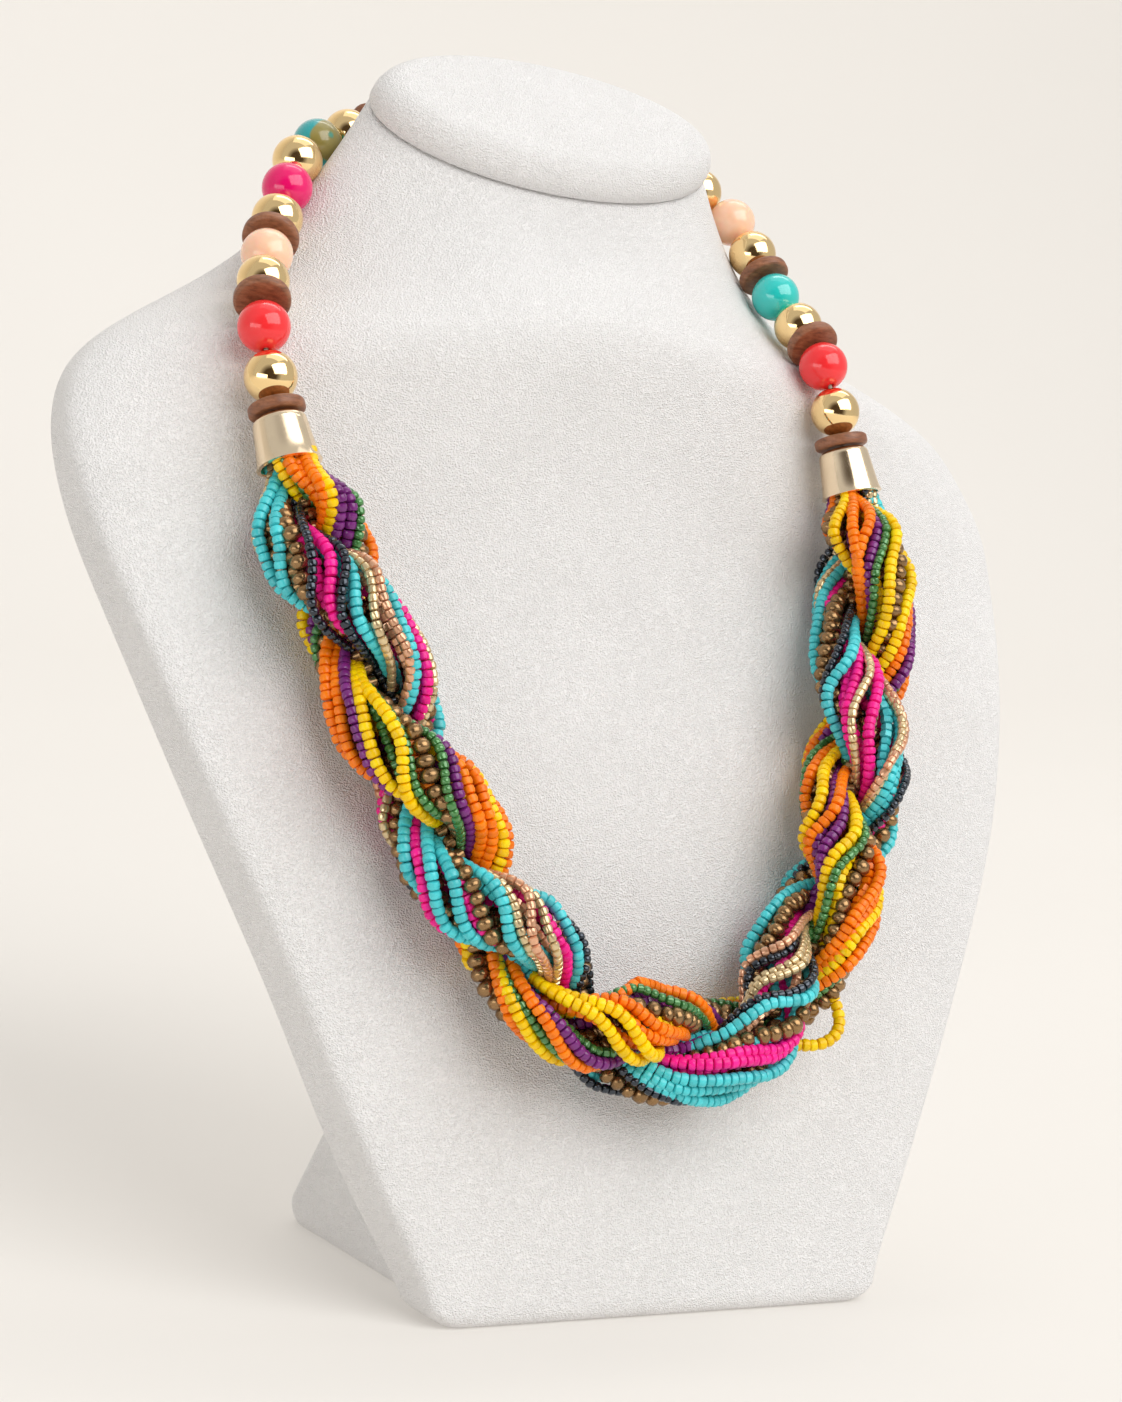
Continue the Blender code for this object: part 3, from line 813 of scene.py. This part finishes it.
def bead_profile():
    radius, bore = ROUND_BEAD_DIAMETER / 2, THREAD_DIAMETER * 0.75
    rim = 0.0002
    start = math.asin((bore + rim) / radius)
    profile = []
    for k in range(29):
        angle = start + (math.pi - 2 * start) * k / 28
        profile.append((radius * math.sin(angle), radius * math.cos(angle)))
    low = profile[-1][1]
    profile += [(bore + rim * 0.3, low + rim * 0.15), (bore, low + rim)]
    profile += [(bore, -low - rim), (bore + rim * 0.3, -low - rim * 0.15)]
    return profile


def disc_profile(swell):
    radius, half, bore = DISC_DIAMETER / 2, DISC_THICKNESS / 2, BORE_DIAMETER / 2
    edge, bevel = half * 0.62, 0.0002
    profile = [(bore, half * 0.94), (bore + bevel, half)]
    profile += [(radius - edge * a, half - edge * b) for a, b in quarter_turn(8)]
    profile += [(radius - edge * b, edge * a - half) for a, b in quarter_turn(8)]
    profile += [(bore + bevel, -half), (bore, -half * 0.94)]
    return [(r * (1 + swell * (r / radius) ** 4), z) for r, z in profile]


def ferrule_profile():
    mouth, top = FERRULE_MOUTH_DIAMETER / 2, FERRULE_TOP_DIAMETER / 2
    wall, half, corner = FERRULE_WALL, FERRULE_LENGTH / 2, 0.0014
    bore = BORE_DIAMETER / 2
    lip = 0.0002
    profile = [(bore, half)]
    profile += [(top - corner * a, half - corner * b) for a, b in quarter_turn(8)]
    rolls = 12
    for k in range(rolls + 1):
        share = k / rolls
        flare = 0.00025 * share**8
        drop = corner + (2 * half - corner - lip) * share
        profile.append((top + (mouth - top) * share + flare, half - drop))
    profile += [(mouth - lip / 2, -half), (mouth - wall + lip / 2, -half)]
    profile += [(mouth - wall, -half + lip), (top - wall, half - corner - wall)]
    profile += [(top - corner - wall, half - wall), (bore, half - wall)]
    return profile


def place_turned(name, profile, sides, matrix, finish, node):
    points, faces = turned(profile, sides)
    finished(name, [matrix @ point for point in points], faces, finish, node)


def make_string(side, kinds, start, end):
    """The beads and discs from an end cup to the clasp, in a pattern that repeats."""
    direction = 1 if end > start else -1
    room = abs(end - start)
    place, index = 0.0, 0
    while True:
        kind = kinds[index % len(kinds)]
        length = (DISC_THICKNESS if kind == "disc" else ROUND_BEAD_DIAMETER) + SEAT_GAP
        if place + length > room:
            break
        index += 1
        node = f"{side}_{index:02d}_{kind}"
        matrix = seat_matrix(start + direction * (place + length / 2), length)
        finish = "magenta_bead" if kind == "magenta" else kind
        if kind == "disc":
            profile, slot = disc_profile(chance.uniform(-0.02, 0.03)), "wood_disc"
        else:
            profile, slot = bead_profile(), "bead_" + kind
        place_turned(f"{node}_fine", profile, 56, matrix, finish, node)
        place += length


def tube(name, path, radius, sides, finish, node):
    rings = []
    normal = None
    for k, point in enumerate(path):
        ahead = path[min(k + 1, len(path) - 1)] - path[max(k - 1, 0)]
        ahead.normalize()
        if normal is None:
            normal = ahead.orthogonal().normalized()
        normal = (normal - ahead * normal.dot(ahead)).normalized()
        side_way = ahead.cross(normal)
        ring = []
        for side in range(sides):
            angle = 2 * math.pi * side / sides
            ring.append(point + (normal * math.cos(angle) + side_way * math.sin(angle)) * radius)
        rings.append(ring)
    loft(name, rings, finish, node)


route = Route(closed_curve(NECKLACE_ROUTE), closed=True)
left_mouth = LEFT_STRING_LENGTH + FERRULE_LENGTH
right_mouth = left_mouth + BRAID_LENGTH
left_top = LEFT_STRING_LENGTH - SEAT_GAP
right_top = right_mouth + FERRULE_LENGTH + SEAT_GAP
half_clasp = CLASP_LENGTH / 2 + SEAT_GAP
half_ferrule = FERRULE_LENGTH / 2

make_string("left", LEFT_STRING, left_top, half_clasp)
make_string("right", RIGHT_STRING, right_top, route.length - half_clasp)
place_turned(
    "end_cup_left", ferrule_profile(), 72,
    seat_matrix(left_mouth - half_ferrule, FERRULE_LENGTH, True),
    "ferrule", "ferrule_left",
)
place_turned(
    "end_cup_right", ferrule_profile(), 72,
    seat_matrix(right_mouth + half_ferrule, FERRULE_LENGTH),
    "ferrule", "ferrule_right",
)


def clasp_profile():
    radius, half, bore = CLASP_DIAMETER / 2, CLASP_LENGTH / 2, BORE_DIAMETER / 2
    end, groove = 0.0010, 0.0003
    profile = [(bore, half)]
    profile += [(radius - end * a, half - end * b) for a, b in quarter_turn(6)]
    profile += [(radius, 0.0006), (radius - groove, 0.0004)]
    profile += [(radius - groove, -0.0004), (radius, -0.0006)]
    profile += [(radius - end * b, -half + end * a) for a, b in quarter_turn(6)]
    profile.append((bore, -half))
    return profile


place_turned(
    "clasp_barrel", clasp_profile(), 48, seat_matrix(0.0, CLASP_LENGTH),
    "ferrule", "clasp",
)
for side, start, end in (
    ("left", CLASP_LENGTH / 4, left_top + THREAD_IN_CUP),
    ("right", right_top - THREAD_IN_CUP, route.length - CLASP_LENGTH / 4),
):
    steps = 160
    path = [route.at(start + (end - start) * k / steps) for k in range(steps + 1)]
    tube(f"cord_{side}", path, THREAD_DIAMETER / 2, 10, "thread", f"thread_{side}")


# Braid


def smooth_step(value):
    value = min(max(value, 0.0), 1.0)
    return value * value * (3 - 2 * value)


def strand_size(distance, length):
    """Half depth and half width of a plain strand, small where the end cups hold it."""
    reach = min(distance, length - distance) - STRAND_INSET
    share = smooth_step(reach / STRAND_SPREAD_LENGTH)
    depth = STRAND_END_DEPTH + (STRAND_DEPTH - STRAND_END_DEPTH) * share
    width = STRAND_END_WIDTH + (STRAND_WIDTH - STRAND_END_WIDTH) * share
    return depth / 2, width / 2


class Strand:
    """One strand of the braid: its section and twist at each place along it."""

    def __init__(self, phase):
        start = left_mouth - STRAND_INSET
        length = BRAID_LENGTH + 2 * STRAND_INSET
        self.rows = []
        turns = hermite_rows(BRAID_LAY, [k / STRAND_STEPS for k in range(STRAND_STEPS + 1)])
        for k in range(STRAND_STEPS + 1):
            distance = length * k / STRAND_STEPS
            _, outward, lifted = route.frame(start + distance)
            theta = turns[k][1] * math.pi
            angle = theta + phase
            radial = outward * math.cos(angle) + lifted * math.sin(angle)
            along = lifted * math.cos(angle) - outward * math.sin(angle)
            half_depth, half_width = strand_size(distance, length)
            half_depth *= STRAND_FULLNESS + DEPTH_SWELL * math.sin(angle)
            half_width *= STRAND_FULLNESS + WIDTH_SWELL * math.sin(angle)
            centre = route.at(start + distance) + radial * (half_depth + SEAT_GAP / 2)
            self.rows.append((centre, radial, along, half_depth, half_width, theta))

    def point(self, k, around, inset):
        """Point of row k at an angle round the strand, inset from its surface."""
        centre, radial, along, half_depth, half_width, _ = self.rows[k]
        deep = max(half_depth - inset, LEAST_DEPTH)
        wide = max(half_width - inset, LEAST_WIDTH)
        return centre + radial * (deep * math.cos(around)) + along * (wide * math.sin(around))


def seed_shape(kind):
    """Outline rows of one seed bead: radius and place along the string."""
    width, pitch, roundness = SEED_KINDS[kind]
    rows = []
    for k in range(5):
        angle = math.pi * (0.08 + 0.84 * k / 4)
        radius = abs(math.sin(angle)) ** (2 / roundness)
        along = -math.copysign(abs(math.cos(angle)) ** (2 / roundness), math.cos(angle))
        rows.append((radius * width / 2, along * pitch / 2))
    return rows


def bead_string(name, kind, path, sides, node, loose=1.0):
    """Seed beads threaded one after another along a path of points."""
    line = Route(path, closed=False)
    pitch = SEED_KINDS[kind][1]
    shape = seed_shape(kind)
    points, faces, tones = [], [], []
    place = pitch * chance.uniform(0.5, 0.9)
    while place < line.length - pitch * 0.5:
        size = 1 + chance.uniform(-SIZE_SPREAD, SIZE_SPREAD) * loose
        stretch = 1 + chance.uniform(-LENGTH_SPREAD, LENGTH_SPREAD) * loose
        middle = line.at(place)
        ahead = (line.at(place + pitch * 0.5) - line.at(place - pitch * 0.5)).normalized()
        tilt = Vector([chance.gauss(0, TILT_SPREAD) * loose for _ in range(3)])
        ahead = (ahead + tilt).normalized()
        side_way = ahead.orthogonal().normalized()
        other = ahead.cross(side_way)
        turn = chance.uniform(0, 2 * math.pi)
        shift = Vector([chance.gauss(0, SHIFT_SPREAD) * loose for _ in range(3)])
        start = len(points)
        for radius, along in shape:
            for side in range(sides):
                angle = turn + 2 * math.pi * side / sides
                points.append(
                    middle + shift + ahead * (along * stretch)
                    + (side_way * math.cos(angle) + other * math.sin(angle)) * (radius * size)
                )
        faces += loft_faces(len(shape), sides, start)
        faces.append(tuple(reversed(range(start, start + sides))))
        faces.append(tuple(range(len(points) - sides, len(points))))
        tones += [chance.random()] * (len(points) - start)
        place += pitch * stretch
    finished(name, points, faces, kind, node, tones)


def slot_angles(order):
    """Angle round the strand of each place in a lobe's order, spaced by bead width."""
    widths = [SEED_KINDS[LETTERS[letter]][0] for letter in order]
    total = sum(widths)
    angles, reach = [], 0.0
    for width in widths:
        angles.append(2 * math.pi * (reach + width / 2) / total)
        reach += width
    return angles


def string_stops(lobes, first, letter, rank):
    """Where one string comes to the top: lay angle and angle round the strand."""
    stops = []
    for index, order in enumerate(lobes):
        places = [k for k, other in enumerate(order) if other == letter]
        around = slot_angles(order)[places[rank]]
        lobe = (first + 2 * index) * math.pi
        stops.append((lobe + around - math.pi, around))
    return stops


def around_at(stops, theta):
    """Angle round the strand, changing only while the string runs underneath."""
    if theta <= stops[0][0]:
        return stops[0][1], 0.0
    for (low, before), (high, after) in zip(stops, stops[1:]):
        if theta <= high:
            share = (theta - low) / (high - low)
            step = smooth_step((share - CHANGE_START) / CHANGE_SPAN)
            under = min(max((share - DIVE_START) / DIVE_SPAN, 0.0), 1.0)
            dive = math.sin(math.pi * under)
            return before + (after - before) * step, dive * min(abs(after - before), 1.0)
    return stops[-1][1], 0.0


def outer_path(strand, stops, inset, seed, wander):
    """An outer string that runs along the braid and shifts its place out of sight."""
    path = []
    for k in range(0, STRAND_STEPS + 1, 2):
        theta = strand.rows[k][5]
        place = k / STRAND_STEPS
        around, dive = around_at(stops, theta)
        sway = noise.noise(Vector((place * 9.0, around * 0.5, 0.0)))
        drift = noise.noise(Vector((place * 13.0, seed * 3.7, 2.0)))
        lift = noise.noise(Vector((place * 17.0, seed * 5.1, 4.0)))
        angle = around - 2.0 * theta + sway * SWAY + drift * wander
        depth = inset + DIVE * dive - lift * LIFT
        path.append(strand.point(k, angle, depth))
    return path


def inner_path(strand, around, seed):
    """A string inside the strand, seen only between the outer ones."""
    path = []
    for k in range(0, STRAND_STEPS + 1, 4):
        theta = strand.rows[k][5]
        drift = noise.noise(Vector((k / STRAND_STEPS * 8.0, seed * 3.7, 9.0)))
        path.append(strand.point(k, around - 2.0 * theta + drift * 0.4, INNER_INSET))
    return path


def make_strand(label, lobes, first, phase):
    strand = Strand(phase)
    slot, node = f"{label}_strand", f"strand_{label}"
    counts = {}
    for index, letter in enumerate(lobes[0]):
        rank = counts.get(letter, 0)
        counts[letter] = rank + 1
        kind = LETTERS[letter]
        if index % 5 == 2:
            sunk, wander = STRAY_SUNK, STRAY_WANDER
        else:
            sunk, wander = SUNK if index % 2 else -SUNK, WANDER
        inset = SEED_KINDS[kind][0] / 2 + sunk
        stops = string_stops(lobes, first, letter, rank)
        path = outer_path(strand, stops, inset, index + 17 * phase, wander)
        loose = BRONZE_LOOSENESS if kind == "bronze" else 1.0
        name = f"{label}_{index + 1:02d}_{kind}"
        bead_string(name, kind, path, OUTER_SIDES, node, loose)
    for index in range(6):
        kind = LETTERS[lobes[0][index * 2 + 1]]
        path = inner_path(strand, math.pi * (index + 0.5) / 3, index + 40)
        name = f"{label}_inner_{index + 1:02d}_{kind}"
        bead_string(name, kind, path, HIDDEN_SIDES, node)


def make_core():
    """Strings that run between the two strands and close the gaps where they cross."""
    steps = 400
    for index, kind in enumerate(["gunmetal", "bronze", "green", "purple", "turquoise", "bronze"]):
        path = []
        for k in range(steps + 1):
            distance = left_mouth + BRAID_LENGTH * k / steps
            _, outward, lifted = route.frame(distance)
            drift = noise.noise(Vector((k / steps * 14.0, index * 2.3, 6.0)))
            angle = math.pi * index / 3 + 9.0 * k / steps + drift
            reach = CORE_REACH * min(1.0, 0.4 + 8.0 * min(k, steps - k) / steps)
            away = outward * math.cos(angle) + lifted * math.sin(angle)
            path.append(route.at(distance) + away * reach)
        label = "warm" if kind in ("bronze", "green", "purple") else "cool"
        name = f"core_{index + 1:02d}_{kind}"
        bead_string(name, kind, path, HIDDEN_SIDES, f"strand_{label}")


def make_loose_loop():
    """One yellow string that has slipped off the strand and hangs in a short loop."""
    middle = left_mouth + LOOP_PLACE * BRAID_LENGTH
    path = []
    for k in range(61):
        share = k / 60
        distance = middle + (share - 0.5) * LOOP_WIDTH
        _, outward, lifted = route.frame(distance)
        out = LOOP_START + LOOP_DROP * math.sin(math.pi * share) ** 0.8
        rise = 0.0010 + 0.0022 * math.sin(math.pi * share)
        path.append(route.at(distance) + outward * out + lifted * rise)
    bead_string("warm_loose_loop", "yellow", path, LOOP_SIDES, "strand_warm")


make_strand("warm", WARM_LOBES, FIRST_LOBE, 0.0)
make_strand("cool", COOL_LOBES, FIRST_LOBE + 1, math.pi)
make_core()
make_loose_loop()


# Stage, light and camera


def make_floor():
    """A pale sheet that runs flat under the bust and curves up behind it."""
    half_width, front, bend, curve, top = 4.5, -1.2, 1.0, 0.5, 3.5
    profile = [(front, 0.0), (bend, 0.0)]
    profile += [(bend + curve - curve * a, curve * b) for a, b in quarter_turn(12)[1:]]
    profile.append((bend + curve, top))
    points, faces = [], []
    for y, z in profile:
        points += [(-half_width, y, z), (half_width, y, z)]
    for k in range(len(profile) - 1):
        faces.append((2 * k, 2 * k + 1, 2 * k + 3, 2 * k + 2))
    mesh = bpy.data.meshes.new("floor")
    mesh.from_pydata(points, [], faces)
    mesh.shade_smooth()
    paper = Finish("paper", (0.53, 0.511, 0.484), 0.9, Emission_Strength=0.32)
    paper.set("Emission Color", (0.905, 0.863, 0.807, 1.0))
    tones = [(0.3, (0.525, 0.506, 0.479)), (0.7, (0.535, 0.516, 0.489))]
    paper.paint(paper.ramp(paper.noise(3.0), tones))
    mesh.materials.append(paper.material)
    obj = bpy.data.objects.new("floor", mesh)
    bpy.context.scene.collection.objects.link(obj)


def make_light(name, place, target, size, power, color):
    data = bpy.data.lights.new(name, "AREA")
    data.shape = "RECTANGLE"
    data.size, data.size_y = size
    data.energy = power
    data.color = color
    obj = bpy.data.objects.new(name, data)
    obj.location = place
    obj.rotation_mode = "QUATERNION"
    obj.rotation_quaternion = (Vector(target) - Vector(place)).to_track_quat("-Z", "Y")
    bpy.context.scene.collection.objects.link(obj)


make_floor()
make_light("key", (0.55, -1.95, 1.9), (0, 0.04, 0.10), (3.0, 2.2), 64.0, (1.0, 0.995, 0.99))
make_light("fill", (-1.3, -0.5, 0.20), (0, 0.04, 0.08), (1.2, 0.35), 3.6, (0.98, 0.99, 1.0))
make_light("top", (0.3, 0.3, 1.8), (0.05, 0.06, 0.10), (1.4, 1.2), 3.2, (1.0, 0.995, 0.985))
make_light("backdrop", (0.9, 0.7, 1.9), (1.1, 1.45, 0.3), (1.6, 0.6), 8.0, (1.0, 0.98, 0.95))


def make_world():
    """Even studio light, with a dim room behind the camera for the metals to mirror."""
    world = bpy.data.worlds.new("studio")
    world.use_nodes = True
    nodes, links = world.node_tree.nodes, world.node_tree.links
    place = nodes.new("ShaderNodeTexCoord").outputs["Generated"]
    toward = nodes.new("ShaderNodeVectorMath")
    toward.operation = "DOT_PRODUCT"
    toward.inputs[1].default_value = DIM_ROOM
    links.new(place, toward.inputs[0])
    ramp = nodes.new("ShaderNodeValToRGB")
    ramp.color_ramp.elements[0].position = 0.66
    ramp.color_ramp.elements[0].color = (0.95, 0.945, 0.935, 1.0)
    ramp.color_ramp.elements[1].position = 0.90
    ramp.color_ramp.elements[1].color = (0.11, 0.08, 0.055, 1.0)
    links.new(toward.outputs["Value"], ramp.inputs["Fac"])
    links.new(ramp.outputs["Color"], nodes["Background"].inputs["Color"])
    nodes["Background"].inputs["Strength"].default_value = 0.61
    bpy.context.scene.world = world


def make_camera():
    back = Vector((
        math.sin(VIEW_AZIMUTH) * math.cos(VIEW_ELEVATION),
        -math.cos(VIEW_AZIMUTH) * math.cos(VIEW_ELEVATION),
        math.sin(VIEW_ELEVATION),
    ))
    right = (-back).cross(Vector((0, 0, 1))).normalized()
    up = right.cross(-back)
    camera_right = right * math.cos(VIEW_ROLL) + up * math.sin(VIEW_ROLL)
    camera_up = up * math.cos(VIEW_ROLL) - right * math.sin(VIEW_ROLL)
    data = bpy.data.cameras.new("camera")
    data.sensor_fit = "HORIZONTAL"
    data.sensor_width = SENSOR
    data.lens = LENS
    data.clip_start, data.clip_end = 0.01, 20.0
    camera = bpy.data.objects.new("camera", data)
    axes = Matrix((camera_right, camera_up, back)).transposed()
    place = VIEW_TARGET + back * VIEW_DISTANCE
    camera.matrix_world = Matrix.Translation(place) @ axes.to_4x4()
    bpy.context.scene.collection.objects.link(camera)
    bpy.context.scene.camera = camera


make_world()
make_camera()
bpy.context.scene.view_settings.view_transform = "Standard"
